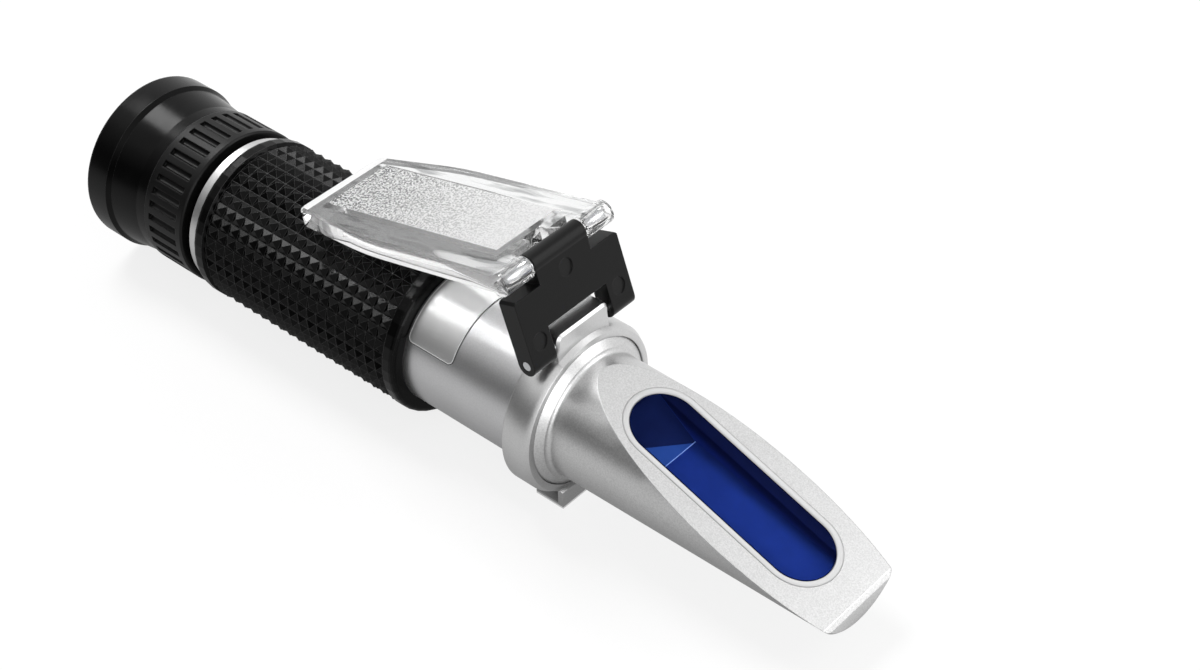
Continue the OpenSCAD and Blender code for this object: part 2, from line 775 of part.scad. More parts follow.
module eye_lens_ring() {
    color("dimgray") placed() pipe(eye_rear - tube_wall, eye_rear, barrel_bore, lens_seat_r);
}

module snap_ring() {
    color("silver") placed() difference() {
        pipe(snap_x - tube_wall / 2, snap_x, (barrel_r + hub_recess_r) / 2, barrel_r - barrel_wall / 2);
        translate([snap_x - tube_wall, -barrel_wall / 2, 0]) cube([2 * tube_wall, barrel_wall, tube_r]);
    }
}

module focus_ring() {
    flute_r = PI * focus_d / flutes / 4;
    skirt_r = neck_r + seat_gap;
    color("#2a2a2c") placed() difference() {
        revolved([
            [hub_x0, 0], [hub_x0, hub_d / 2], [ring_x1 - focus_len, hub_d / 2],
            [ring_x1 - focus_len, focus_d / 2 - edge_break], [ring_x1 - focus_len + edge_break, focus_d / 2],
            [ring_x1 - edge_break, focus_d / 2], [ring_x1, focus_d / 2 - edge_break], [ring_x1, 0]]);
        for (i = [0 : flutes - 1]) rotate([i * 360 / flutes, 0, 0]) translate([0, 0, focus_d / 2])
            rod_x(ring_x1 - focus_len + tube_wall, ring_x1 - tube_wall, flute_r);
        rod_x(hub_x0 - overrun, ring_x1 + overrun, barrel_r + running_gap);
        rod_x(web_x1, ring_x1 + overrun, skirt_r);
        rod_x(hub_x0 - overrun, web_x0, hub_recess_r);
    }
}

module eyecup() {
    cup_root = ring_x1 - focus_len;
    hub_r = hub_d / 2;
    cup_floor = rear_x + cup_depth;
    lip = cup_lip / 2;
    lip_arc = [for (a = [0 : 30 : 180]) [rear_x + lip - lip * sin(a), eyecup_r - lip + lip * cos(a)]];
    color("#161617") placed() revolved(concat(
        [[cup_root - running_gap, hub_r], [cup_root - running_gap, focus_d / 2 - edge_break],
            [cup_root - hub_len / 2, focus_d / 2 - edge_break], [cup_floor - edge_break, eyecup_r - 2 * edge_break],
            [cup_floor - cup_lip, eyecup_r]],
        lip_arc,
        [[cup_floor - edge_break, hub_r + cup_lip], [cup_floor, hub_r], [cup_floor, socket_r - cup_lip],
            [cup_floor + cup_lip, socket_r - cup_lip], [hub_x0 - running_gap, socket_r + running_gap],
            [hub_x0 - running_gap, hub_r]]));
}

body_tube();
grip_sleeve();
hinge_collar();
prism_head();
measuring_prism();
prism_seal();
head_o_ring();
lower_hinge_pin();
hinge_link();
upper_hinge_pin();
daylight_plate();
calibration_screw();
lens_mount();
strip_screws();
bimetal_strip();
cell_screws();
lens_cell();
objective_lens();
lens_ring();
light_baffle();
reticle();
reticle_holder();
reticle_ring();
eyepiece_socket();
lens_barrel();
guide_pin();
field_lens();
lens_spacer();
eye_lens();
eye_lens_ring();
snap_ring();
focus_ring();
eyecup();
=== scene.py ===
import math
import bpy
from mathutils import Matrix, Vector


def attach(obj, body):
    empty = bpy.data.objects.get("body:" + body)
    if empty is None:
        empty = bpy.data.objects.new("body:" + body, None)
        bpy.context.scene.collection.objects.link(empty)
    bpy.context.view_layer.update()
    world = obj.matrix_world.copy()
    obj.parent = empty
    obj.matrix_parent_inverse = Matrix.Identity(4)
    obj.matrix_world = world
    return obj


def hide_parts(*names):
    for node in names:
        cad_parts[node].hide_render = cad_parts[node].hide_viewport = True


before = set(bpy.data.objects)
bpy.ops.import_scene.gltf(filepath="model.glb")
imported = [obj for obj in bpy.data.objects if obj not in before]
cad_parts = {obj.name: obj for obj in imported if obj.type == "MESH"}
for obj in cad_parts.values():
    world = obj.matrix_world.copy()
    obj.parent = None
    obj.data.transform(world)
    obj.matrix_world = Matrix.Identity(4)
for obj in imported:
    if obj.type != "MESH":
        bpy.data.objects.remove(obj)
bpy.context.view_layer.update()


# ---------------------------------------------------------------- Camera
# It looks down on the prism head from in front and from the near side, 0.36 m from the hinge.
# The lens and the small roll are the photograph's own, worked out from the part's known sizes.
turn = math.radians(41.964)
lift = math.radians(40.842)
roll = math.radians(-1.031)
camera_place = (0.211165, -0.203012, 0.269282)
back = Vector((math.sin(turn) * math.cos(lift), -math.cos(turn) * math.cos(lift), math.sin(lift)))
level = Vector((0, 0, 1)).cross(back).normalized()
upright = back.cross(level)
across_view = math.cos(roll) * level + math.sin(roll) * upright
up_view = math.cos(roll) * upright - math.sin(roll) * level

lens = bpy.data.cameras.new("camera")
lens.sensor_width = 36
lens.lens = 69.9
lens.clip_start = 0.01
camera = bpy.data.objects.new("camera", lens)
bpy.context.collection.objects.link(camera)
camera.matrix_world = (Matrix.Translation(camera_place)
                       @ Matrix((across_view, up_view, back)).transposed().to_4x4())
bpy.context.scene.camera = camera
bpy.context.scene.view_settings.view_transform = "Standard"


# ---------------------------------------------------------------- Studio
# A white sweep with a compact key lamp high behind the eyepiece and a broad soft box over the nose.
# A curved dark screen stands on the near side, and a dark card lies under the part and in front of
# it. Only shiny surfaces see them, and they give the barrel its grey band.
def linear(code):
    """An sRGB hex colour as the linear red, green, blue and alpha that a shader takes."""
    parts = [int(code[i:i + 2], 16) / 255 for i in (0, 2, 4)]
    return [c / 12.92 if c <= 0.04045 else ((c + 0.055) / 1.055) ** 2.4 for c in parts] + [1.0]


def add_node(owner, kind, sockets=None, **settings):
    """Adds one shader node. A socket takes a number or colour, or the output it is linked to."""
    made = owner.node_tree.nodes.new("ShaderNode" + kind)
    for name, value in settings.items():
        setattr(made, name, value)
    for name, value in (sockets or {}).items():
        if isinstance(value, bpy.types.NodeSocket):
            owner.node_tree.links.new(value, made.inputs[name])
        else:
            made.inputs[name].default_value = value
    return made


def bare(owner):
    """The owner with an empty node tree."""
    owner.use_nodes = True
    owner.node_tree.nodes.clear()
    return owner


def seen_ray(owner):
    """1 for the rays that see the background: straight, mirrored or through glass."""
    path = add_node(owner, "LightPath")
    straight = add_node(owner, "Math", {0: path.outputs["Is Camera Ray"], 1: path.outputs["Is Glossy Ray"]},
                        operation="MAXIMUM")
    return add_node(owner, "Math", {0: straight.outputs[0], 1: path.outputs["Is Transmission Ray"]},
                    operation="MAXIMUM").outputs[0]


# room and sweep are dimmer as lights than they look, so that the lamps still shape the part
room_as_light, room_as_seen = 0.36, 1.0
sweep_as_light, sweep_as_seen = 0.13, 0.82
sweep_grey = (0.2, 0.2, 0.2, 1)
sweep_width = 8
room = bare(bpy.data.worlds.new("white_room"))
room_level = add_node(room, "MapRange", {"Value": seen_ray(room), "To Min": room_as_light,
                                         "To Max": room_as_seen})
room_light = add_node(room, "Background", {"Color": linear("ffffff"), "Strength": room_level.outputs[0]})
add_node(room, "OutputWorld", {"Surface": room_light.outputs[0]})
bpy.context.scene.world = room

sweep_paint = bare(bpy.data.materials.new("white_sweep"))
sweep_matt = add_node(sweep_paint, "BsdfDiffuse", {"Color": sweep_grey})
sweep_level = add_node(sweep_paint, "MapRange", {"Value": seen_ray(sweep_paint), "To Min": sweep_as_light,
                                                 "To Max": sweep_as_seen})
sweep_glow = add_node(sweep_paint, "Emission", {"Color": linear("ffffff"),
                                                "Strength": sweep_level.outputs[0]})
sweep_both = add_node(sweep_paint, "AddShader", {0: sweep_matt.outputs[0], 1: sweep_glow.outputs[0]})
add_node(sweep_paint, "OutputMaterial", {"Surface": sweep_both.outputs[0]})
bpy.ops.object.select_all(action="DESELECT")
bpy.ops.mesh.primitive_plane_add(size=sweep_width)
sweep = bpy.context.object
sweep.name = "white_sweep"
sweep.data.materials.append(sweep_paint)


def hang_lamp(name, place, width, power):
    """A square area lamp that looks at the part from where it hangs."""
    lamp = bpy.data.lights.new(name, "AREA")
    lamp.shape = "SQUARE"
    lamp.size = width
    lamp.energy = power
    stand = bpy.data.objects.new(name, lamp)
    bpy.context.collection.objects.link(stand)
    stand.location = place
    stand.rotation_euler = Vector(place).to_track_quat("Z", "Y").to_euler()


hang_lamp("key_lamp", (-0.45, 0.10, 0.77), 0.34, 4.8)
hang_lamp("soft_box", (0.51, 0.51, 0.56), 0.5, 1.7)
hang_lamp("front_fill", (0.82, -0.27, 0.24), 0.5, 2.2)
hang_lamp("nose_lamp", (0.72, 0.52, 0.24), 0.25, 0.5)


def dark_card(name, card, stops, axis, low, high):
    """A dark card that only shiny surfaces see, graded along one axis from low to high."""
    cloth = bare(bpy.data.materials.new(name))
    place = add_node(cloth, "TexCoord").outputs["Object"]
    along = add_node(cloth, "SeparateXYZ", {0: place}).outputs[axis]
    share = add_node(cloth, "MapRange", {"Value": along, "From Min": low, "From Max": high})
    grade = add_node(cloth, "ValToRGB", {"Fac": share.outputs[0]})
    grade.color_ramp.elements[0].position = 0.0
    while len(grade.color_ramp.elements) < len(stops):
        grade.color_ramp.elements.new(0.5)
    for element, (position, level) in zip(grade.color_ramp.elements, stops):
        element.position = position
        element.color = (level, level, level, 1)
    face = add_node(cloth, "Emission", {"Color": grade.outputs["Color"], "Strength": 1.0})
    add_node(cloth, "OutputMaterial", {"Surface": face.outputs[0]})
    card.name = name
    card.data.materials.append(cloth)
    card.visible_camera = card.visible_diffuse = card.visible_transmission = False
    card.visible_shadow = card.visible_volume_scatter = False


def pick(piece, wanted):
    """Selects the faces of the piece in hand that a test names, and nothing else."""
    bpy.ops.object.mode_set(mode="EDIT")
    bpy.ops.mesh.select_mode(type="FACE")
    bpy.ops.mesh.select_all(action="DESELECT")
    bpy.ops.object.mode_set(mode="OBJECT")
    for side in piece.data.polygons:
        side.select = wanted(side)


def drop_faces(piece, unwanted):
    """Takes the faces that a test names off the piece in hand."""
    pick(piece, unwanted)
    bpy.ops.object.mode_set(mode="EDIT")
    bpy.ops.mesh.delete(type="FACE")
    bpy.ops.object.mode_set(mode="OBJECT")


screen_height, screen_radius = 0.5, 0.6
screen_start, screen_end = math.radians(200), math.radians(300)
bpy.ops.object.select_all(action="DESELECT")
bpy.ops.mesh.primitive_cylinder_add(vertices=72, radius=screen_radius, depth=screen_height,
                                    end_fill_type="NOTHING", location=(0, 0, screen_height / 2))
screen = bpy.context.object
bpy.ops.object.transform_apply(location=True, rotation=True, scale=True)
drop_faces(screen, lambda strip: not (screen_start < math.atan2(strip.center.y, strip.center.x) % math.tau
                                      < screen_end))
dark_card("dark_screen", screen, [(0, 0.16), (0.4, 0.13), (1, 0.7)], "Z", 0, screen_height)

# the card ends just past the nose, and lies 0.4 mm up so that it doesn't meet the sweep
card_left, card_right = -0.55, 0.083
card_front, card_rear = -0.6, 0.02
card_height = 0.0004
bpy.ops.object.select_all(action="DESELECT")
bpy.ops.mesh.primitive_plane_add(size=1, location=((card_left + card_right) / 2,
                                                   (card_front + card_rear) / 2, card_height))
near_card = bpy.context.object
near_card.scale = (card_right - card_left, card_rear - card_front, 1)
bpy.ops.object.transform_apply(location=True, rotation=True, scale=True)
# its grade is partly a painted shadow: darkest just under the part, where the metal would see the floor in
# the part's own shade; further out it is a plain dark flag
dark_card("near_card", near_card, [(0, 0.15), (0.55, 0.45), (0.75, 0.7), (0.88, 0.8), (0.92, 0.7),
                                   (0.94, 0.5), (0.955, 0.33), (1, 0.25)], "Y", card_front, card_rear)


# ---------------------------------------------------------------- Barrel tube
# A drawn aluminium tube, bead-blasted and clear anodised, that carries every other part.
# The prism head, the collar and the eyepiece socket all push into its ends.
def finish(nodes, material):
    """Gives CAD nodes their real finish."""
    for name in nodes:
        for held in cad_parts[name].material_slots:
            held.material = material


grain_depth = 0.00003


def blasted_aluminium(name, colour, roughness, relief, rounding=0.0, sparkle=0.04):
    """Bead-blasted, clear anodised aluminium: a soft silver sheen broken up by fine sparkling grain,
    with the sharp edges worn slightly round. The real grain is about 0.1 mm. It is drawn at 0.25 mm
    so that it shows."""
    metal = bare(bpy.data.materials.new(name))
    place = add_node(metal, "TexCoord").outputs["Object"]
    grain = add_node(metal, "TexNoise", {"Vector": place, "Scale": 4000, "Detail": 2, "Roughness": 0.6})
    cloud = add_node(metal, "TexNoise", {"Vector": place, "Scale": 140, "Detail": 2})
    fine_tone = add_node(metal, "MapRange", {"Value": grain.outputs["Fac"], "From Min": 0.35,
                                             "From Max": 0.65, "To Min": 0.98 - sparkle,
                                             "To Max": 1.0 + sparkle})
    wide_tone = add_node(metal, "MapRange", {"Value": cloud.outputs["Fac"], "From Min": 0.3,
                                             "From Max": 0.7, "To Min": 0.97, "To Max": 1.0})
    tone = add_node(metal, "Math", {0: fine_tone.outputs[0], 1: wide_tone.outputs[0]}, operation="MULTIPLY")
    shade = add_node(metal, "Mix", {"Factor": 1.0, "A": linear(colour), "B": tone.outputs[0]},
                     data_type="RGBA", blend_type="MULTIPLY")
    gloss_spread = 0.04
    gloss = add_node(metal, "MapRange", {"Value": grain.outputs["Fac"], "From Min": 0.3, "From Max": 0.7,
                                         "To Min": roughness - gloss_spread,
                                         "To Max": roughness + gloss_spread})
    bump = add_node(metal, "Bump", {"Height": grain.outputs["Fac"], "Strength": relief,
                                    "Distance": grain_depth})
    if rounding > 0:
        edge = add_node(metal, "Bevel", {"Radius": rounding}, samples=6)
        metal.node_tree.links.new(edge.outputs[0], bump.inputs["Normal"])
    skin = add_node(metal, "BsdfPrincipled", {"Base Color": shade.outputs["Result"], "Metallic": 1.0,
                                              "Roughness": gloss.outputs[0], "Normal": bump.outputs[0]})
    add_node(metal, "OutputMaterial", {"Surface": skin.outputs[0]})
    return metal


finish(["body_tube"], blasted_aluminium("blasted_aluminium_tube", "c7c7c8", 0.33, 0.35, 0.0002))


# ---------------------------------------------------------------- Bare label
# A strip of silvered polyester film with rounded corners, stuck round the top of the tube.
# It carries no words here. A thin dark band round its edge is a painted shade, and a thin
# white band just inside it is a painted highlight.
axis_height = 0.01575
label_radius = 0.01253
label_start, label_end = -0.0035, 0.0066
label_middle = (label_start + label_end) / 2
label_reach = math.radians(63)
label_corner = 0.0013
label_facets = 360
half_facet = math.pi / label_facets
film_thickness = 0.00005
bpy.ops.object.select_all(action="DESELECT")
bpy.ops.mesh.primitive_cylinder_add(vertices=label_facets, radius=label_radius,
                                    depth=label_end - label_start, end_fill_type="NOTHING",
                                    rotation=(0, math.radians(90), 0),
                                    location=(label_middle, 0, axis_height))
label = bpy.context.object
label.name = "bare_label"
bpy.ops.object.transform_apply(location=True, rotation=True, scale=True)


def angle_from_top(point):
    """How far round the barrel a point lies from the top line, to either side."""
    return abs(math.atan2(point.y, point.z - axis_height))


drop_faces(label, lambda face: angle_from_top(face.center) > label_reach)
for corner in label.data.vertices:
    left = (label_reach + half_facet - angle_from_top(corner.co)) * label_radius
    if left < label_corner:
        drop = label_corner - math.sqrt(max(0.0, label_corner ** 2 - (label_corner - max(left, 0.0)) ** 2))
        corner.co.x += -drop if corner.co.x > label_middle else drop
# the outer band is painted dark, a painted shade, and the band inside it white, a painted highlight
for rim_width, rim_place in [(0.00012, 1), (0.00018, 2)]:
    pick(label, lambda face: face.material_index == 0)
    bpy.ops.object.mode_set(mode="EDIT")
    bpy.ops.mesh.inset(thickness=rim_width, use_boundary=True)
    bpy.ops.object.mode_set(mode="OBJECT")
    for face in label.data.polygons:
        if not face.select and face.material_index == 0:
            face.material_index = rim_place
thicken = label.modifiers.new("thickness", "SOLIDIFY")
thicken.thickness = film_thickness
thicken.offset = 1
bpy.ops.object.modifier_apply(modifier="thickness")
bpy.ops.object.shade_smooth_by_angle(angle=math.radians(30))


def polyester_film(name, colour, metallic):
    """Silvered polyester film: brighter and smoother than the blasted tube under it."""
    film = bare(bpy.data.materials.new(name))
    place = add_node(film, "TexCoord").outputs["Object"]
    grain = add_node(film, "TexNoise", {"Vector": place, "Scale": 2500, "Detail": 2})
    relief = add_node(film, "Bump", {"Height": grain.outputs["Fac"], "Strength": 0.12,
                                     "Distance": grain_depth})
    skin = add_node(film, "BsdfPrincipled", {"Base Color": linear(colour), "Metallic": metallic,
                                             "Roughness": 0.33, "Coat Weight": 0.2, "Coat Roughness": 0.25,
                                             "Normal": relief.outputs[0]})
    add_node(film, "OutputMaterial", {"Surface": skin.outputs[0]})
    return film


# the film itself, then its painted shade edge band and its painted highlight edge band
for film_of_part in [polyester_film("silvered_polyester_film", "dcdcdc", 0.8),
                     polyester_film("painted_shade_film_edge", "4a4a4a", 0.5),
                     polyester_film("painted_highlight_film_edge", "ffffff", 0.1)]:
    label.data.materials.append(film_of_part)
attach(label, "base")


# ---------------------------------------------------------------- Grip sleeve
# A moulded rubber sleeve pushed over the rear of the tube, with rows of small square pyramids
# between two smooth rims. The rubber is black and slightly shiny, and its edges and groove lines
# are painted lighter grey, a painted highlight.
rubber = bare(bpy.data.materials.new("moulded_black_rubber"))
rubber_place = add_node(rubber, "TexCoord").outputs["Object"]
rubber_grain = add_node(rubber, "TexNoise", {"Vector": rubber_place, "Scale": 3500, "Detail": 3,
                                             "Roughness": 0.6})
rubber_cloud = add_node(rubber, "TexNoise", {"Vector": rubber_place, "Scale": 220, "Detail": 3})
rubber_gloss = add_node(rubber, "MapRange", {"Value": rubber_cloud.outputs["Fac"], "From Min": 0.3,
                                             "From Max": 0.7, "To Min": 0.16, "To Max": 0.26})
rubber_bevel = add_node(rubber, "Bevel", {"Radius": 0.00016}, samples=6)
rubber_bump = add_node(rubber, "Bump", {"Height": rubber_grain.outputs["Fac"], "Strength": 0.2,
                                        "Distance": grain_depth, "Normal": rubber_bevel.outputs[0]})
# where the rounded normal leaves the face's own, an edge is near: there the colour turns lighter grey, a
# painted highlight
rubber_face = add_node(rubber, "NewGeometry").outputs["True Normal"]
rubber_flat = add_node(rubber, "VectorMath", {0: rubber_bevel.outputs[0], 1: rubber_face},
                       operation="DOT_PRODUCT")
rubber_edge_highlight = add_node(rubber, "MapRange", {"Value": rubber_flat.outputs["Value"], "From Min": 0.99,
                                            "From Max": 0.88})
rubber_tone = add_node(rubber, "Mix", {"Factor": rubber_edge_highlight.outputs[0], "A": linear("020202"),
                                       "B": linear("4c4c4c")}, data_type="RGBA")
rubber_skin = add_node(rubber, "BsdfPrincipled", {"Base Color": rubber_tone.outputs["Result"],
                                                  "Roughness": rubber_gloss.outputs[0],
                                                  "Specular IOR Level": 0.115,
                                                  "Normal": rubber_bump.outputs[0]})
add_node(rubber, "OutputMaterial", {"Surface": rubber_skin.outputs[0]})
finish(["grip_sleeve", "head_o_ring", "eyecup"], rubber)


# ---------------------------------------------------------------- Hinge collar
# A turned aluminium ring with a boss for the hinge pin on top and a foot below, blasted and
# anodised with the tube. It is pressed over the joint of tube and prism head.
def take_up(piece):
    """Makes a piece the one in hand, which the next operators work on."""
    bpy.ops.object.select_all(action="DESELECT")
    piece.select_set(True)
    bpy.context.view_layer.objects.active = piece


def copy_of(node, name):
    """A copy of a CAD node's mesh as a new piece, with its loose triangles joined."""
    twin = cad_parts[node].copy()
    twin.data = twin.data.copy()
    twin.name = name
    twin.data.name = name
    bpy.context.collection.objects.link(twin)
    take_up(twin)
    if twin.data.has_custom_normals:
        bpy.ops.mesh.customdata_custom_splitnormals_clear()
    bpy.ops.object.mode_set(mode="EDIT")
    bpy.ops.mesh.select_all(action="SELECT")
    bpy.ops.mesh.remove_doubles(threshold=0.000002)
    bpy.ops.mesh.dissolve_limited(angle_limit=math.radians(0.5))
    bpy.ops.mesh.normals_make_consistent(inside=False)
    bpy.ops.object.mode_set(mode="OBJECT")
    twin.data.materials.clear()
    for key in [k for k in twin.keys() if k.startswith("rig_")]:
        del twin[key]
    return twin


def round_edges(piece, width, segments, least_angle, edge_finish=-1):
    """Rounds the sharp edges of a piece, in their own finish if one is named, and smooths the rest."""
    rim = piece.modifiers.new("rounding", "BEVEL")
    rim.width = width
    rim.segments = segments
    rim.limit_method = "ANGLE"
    rim.angle_limit = math.radians(least_angle)
    rim.harden_normals = False
    rim.material = edge_finish
    take_up(piece)
    bpy.ops.object.modifier_apply(modifier="rounding")
    bpy.ops.object.shade_smooth_by_angle(angle=math.radians(30))


collar = copy_of("hinge_collar", "blasted_collar")
collar.data.materials.append(blasted_aluminium("blasted_aluminium_collar", "c8c8c8", 0.32, 0.35))
collar_rounding = 0.00025
round_edges(collar, collar_rounding, 2, 35)

# the boss stands back a little from the bevelled front edge of the ring: a slice of its front is
# taken off, less the cone that the ring's bevel keeps
collar_front = 0.0261
boss_back = 0.0009
ring_radius, ring_mouth = 0.01508, 0.01443
bevel_run = 0.0012
cone_overrun, slice_overrun = 0.0004, 0.0003
slice_width, slice_height = 0.013, 0.007
slice_middle = 0.016
bpy.ops.object.select_all(action="DESELECT")
bpy.ops.mesh.primitive_cone_add(vertices=240, radius1=ring_radius,
                                radius2=ring_mouth - (ring_radius - ring_mouth) * cone_overrun / bevel_run,
                                depth=bevel_run + cone_overrun, rotation=(0, math.radians(90), 0),
                                location=(collar_front + (cone_overrun - bevel_run) / 2, 0, axis_height))
kept = bpy.context.object
bpy.ops.object.select_all(action="DESELECT")
bpy.ops.mesh.primitive_cube_add(size=1, scale=(boss_back + slice_overrun, slice_width, slice_height),
                                location=(collar_front + (slice_overrun - boss_back) / 2, 0,
                                          axis_height + slice_middle))
waste = bpy.context.object


def take_away(piece, tool):
    """Takes the tool's shape out of the piece, and removes the tool."""
    bite = piece.modifiers.new("bite", "BOOLEAN")
    bite.operation = "DIFFERENCE"
    bite.object = tool
    take_up(piece)
    bpy.ops.object.modifier_apply(modifier="bite")
    bpy.data.objects.remove(tool)


take_away(waste, kept)
take_away(collar, waste)


def pick_edges(piece, wanted):
    """Selects the edges of the piece in hand whose two ends pass a test."""
    bpy.ops.object.mode_set(mode="EDIT")
    bpy.ops.mesh.select_mode(type="EDGE")
    bpy.ops.mesh.select_all(action="DESELECT")
    bpy.ops.object.mode_set(mode="OBJECT")
    for line in piece.data.edges:
        line.select = wanted([piece.data.vertices[end].co for end in line.vertices])


boss_face = collar_front - boss_back
boss_foot = axis_height + 0.0155
boss_chamfer = 0.0004
touch = 0.00001
pick_edges(collar, lambda ends: all(abs(end.x - boss_face) < touch and end.z > boss_foot for end in ends))
bpy.ops.object.mode_set(mode="EDIT")
bpy.ops.mesh.bevel(offset=boss_chamfer, segments=1, clamp_overlap=False)
bpy.ops.object.mode_set(mode="OBJECT")
bpy.ops.object.shade_smooth_by_angle(angle=math.radians(30))
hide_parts("hinge_collar")
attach(collar, "base")


# ---------------------------------------------------------------- Prism head
# A die-cast aluminium nose, cut off at a slant for the prism, with a coarse blasted face.
# Its spigot slides into the tube on an O-ring.
finish(["prism_head"], blasted_aluminium("blasted_aluminium_head", "cacaca", 0.34, 0.45, 0.0002, 0.09))


# ---------------------------------------------------------------- Seal
# A bead of pale cement that holds the prism in the window of the head. It is laid by hand, so it
# is slightly grainy and its outer side runs out in a thin lip, which is shaped with the prism.
cement = bare(bpy.data.materials.new("pale_cement"))
cement_place = add_node(cement, "TexCoord").outputs["Object"]
cement_grain = add_node(cement, "TexNoise", {"Vector": cement_place, "Scale": 2500, "Detail": 2})
cement_bevel = add_node(cement, "Bevel", {"Radius": 0.0004}, samples=6)
cement_bump = add_node(cement, "Bump", {"Height": cement_grain.outputs["Fac"], "Strength": 0.3,
                                        "Distance": grain_depth, "Normal": cement_bevel.outputs[0]})
cement_skin = add_node(cement, "BsdfPrincipled", {"Base Color": linear("dedede"), "Roughness": 0.45,
                                                  "Normal": cement_bump.outputs[0]})
add_node(cement, "OutputMaterial", {"Surface": cement_skin.outputs[0]})
cement_bead = copy_of("prism_seal", "cement_bead")
cement_bead.data.materials.append(cement)


# ---------------------------------------------------------------- Measuring prism
# An optical glass prism, polished on top and painted blue on its other sides, cemented
# into the head. Its paint is seen through the polished face.
face_slope = math.radians(19.12)
face_up = Vector((math.sin(face_slope), 0, math.cos(face_slope)))
face_down_hill = Vector((math.cos(face_slope), 0, -math.sin(face_slope)))
prism = copy_of("measuring_prism", "painted_prism")
prism_top = max(corner.co.dot(face_up) for corner in prism.data.vertices)

# the bead's outer side runs out on the head in a thin lip, which closes the groove round it
window_half, window_radius = 0.014, 0.00585
lip_reach, lip_rise = 0.00036, 0.000003
bead_crest = 0.00036
bead_fall, bead_depth = 0.000148, 0.0001
reaches = [corner.co.dot(face_down_hill) for corner in prism.data.vertices
           if corner.co.dot(face_up) > prism_top - touch]
window_middle = (min(reaches) + max(reaches)) / 2
bead_rise = max(corner.co.dot(face_up) for corner in cement_bead.data.vertices) - prism_top
for corner in cement_bead.data.vertices:
    along = corner.co.dot(face_down_hill) - window_middle
    past_straight = along - max(-window_half, min(window_half, along))
    outward = face_down_hill * past_straight + Vector((0, corner.co.y, 0))
    height = corner.co.dot(face_up) - prism_top
    if outward.length > window_radius + bead_crest and height > -bead_depth:
        share = min(1.0, (bead_rise - height) / bead_fall)
        new_height = bead_rise * (1 - share) ** 1.5 + lip_rise
        corner.co += outward.normalized() * lip_reach * share + face_up * (new_height - height)
take_up(cement_bead)
bpy.ops.object.shade_smooth_by_angle(angle=math.radians(40))
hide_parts("prism_seal")
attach(cement_bead, "base")
rim_depth = 0.00035
block_half = 0.00375
block_depth = 0.02
fit = 0.00003
cut_threshold = 0.000001
facing, square_on = 0.99, 0.999


def cut_off(spot, normal):
    """Cuts the piece in hand with a plane and takes away what lies beyond it."""
    bpy.ops.object.mode_set(mode="EDIT")
    bpy.ops.mesh.select_all(action="SELECT")
    bpy.ops.mesh.bisect(plane_co=spot, plane_no=normal, use_fill=True, clear_outer=True,
                        threshold=cut_threshold)
    bpy.ops.object.mode_set(mode="OBJECT")


def score(spot, normal):
    """Parts the picked faces of the piece in hand where a plane crosses them."""
    bpy.ops.object.mode_set(mode="EDIT")
    bpy.ops.mesh.bisect(plane_co=spot, plane_no=normal, threshold=cut_threshold)
    bpy.ops.object.mode_set(mode="OBJECT")


# the polished pane: the top of the block, as wide as the window
take_up(prism)
cut_off(face_up * (prism_top - rim_depth), -face_up)
pick(prism, lambda side: side.normal.dot(face_up) < -facing)
score((0, block_half, 0), (0, 1, 0))

# the painted block under it, narrower than the window, cut by its floor and its exit face
pick(prism, lambda side: side.normal.dot(face_up) < -facing and side.center.y < block_half)
bpy.ops.object.mode_set(mode="EDIT")
bpy.ops.mesh.extrude_region_move(TRANSFORM_OT_translate={"value": -face_up * block_depth})
bpy.ops.object.mode_set(mode="OBJECT")
floor_down = Vector((-0.234, 0, -0.972)).normalized()
exit_back = Vector((-0.7576, 0, -0.6527)).normalized()
corner_line = Vector((0.0442, 0, 0.01556))
cut_off(corner_line - floor_down * fit, floor_down)
cut_off(corner_line, exit_back)

# the exit face's lower part is painted lighter up to a slanting line, a painted light patch, and its foot
# carries a painted highlight along the edge
light_from = Vector((0.04139, -0.00416, 0.01882))
light_to = Vector((0.04422, 0.00341, 0.01554))
light_side = (light_to - light_from).cross(exit_back)
foot_edge = 0.00007
pick(prism, lambda side: side.normal.dot(exit_back) > facing)
score(light_from, light_side)


def on_exit_rim(ends):
    """Whether an edge bounds the exit face at the floor or at the side wall."""
    at_exit = all(abs((end - corner_line).dot(exit_back)) < touch for end in ends)
    at_floor = all(abs((end - corner_line).dot(floor_down)) < 10 * touch for end in ends)
    at_side = all(abs(end.y - block_half) < touch for end in ends)
    return at_exit and (at_floor or at_side)


pick_edges(prism, on_exit_rim)
bpy.ops.object.mode_set(mode="EDIT")
bpy.ops.mesh.bevel(offset=foot_edge, segments=1)
bpy.ops.mesh.select_mode(type="FACE")
bpy.ops.mesh.select_all(action="SELECT")
bpy.ops.mesh.normals_make_consistent(inside=False)
bpy.ops.object.mode_set(mode="OBJECT")

# polished glass: clear, and a mirror only at flat angles, because head on its faint reflection of
# the white room would show as nothing but grain
head_on = 0.02
glass = bare(bpy.data.materials.new("polished_optical_glass"))
glass_body = add_node(glass, "BsdfRefraction", {"Color": linear("f4f8ff"), "Roughness": 0.0, "IOR": 1.52})
glass_gloss = add_node(glass, "BsdfGlossy", {"Color": linear("ffffff"), "Roughness": 0.03})
glass_edge_on = add_node(glass, "Fresnel", {"IOR": 1.2})
glass_mirror = add_node(glass, "Math", {0: glass_edge_on.outputs[0], 1: head_on}, operation="SUBTRACT",
                        use_clamp=True)
glass_skin = add_node(glass, "MixShader", {0: glass_mirror.outputs[0], 1: glass_body.outputs[0],
                                           2: glass_gloss.outputs[0]})
glass_path = add_node(glass, "LightPath")
glass_clear = add_node(glass, "BsdfTransparent", {"Color": linear("f4f8ff")})
glass_mix = add_node(glass, "MixShader", {0: glass_path.outputs["Is Shadow Ray"], 1: glass_skin.outputs[0],
                                          2: glass_clear.outputs[0]})
add_node(glass, "OutputMaterial", {"Surface": glass_mix.outputs[0]})


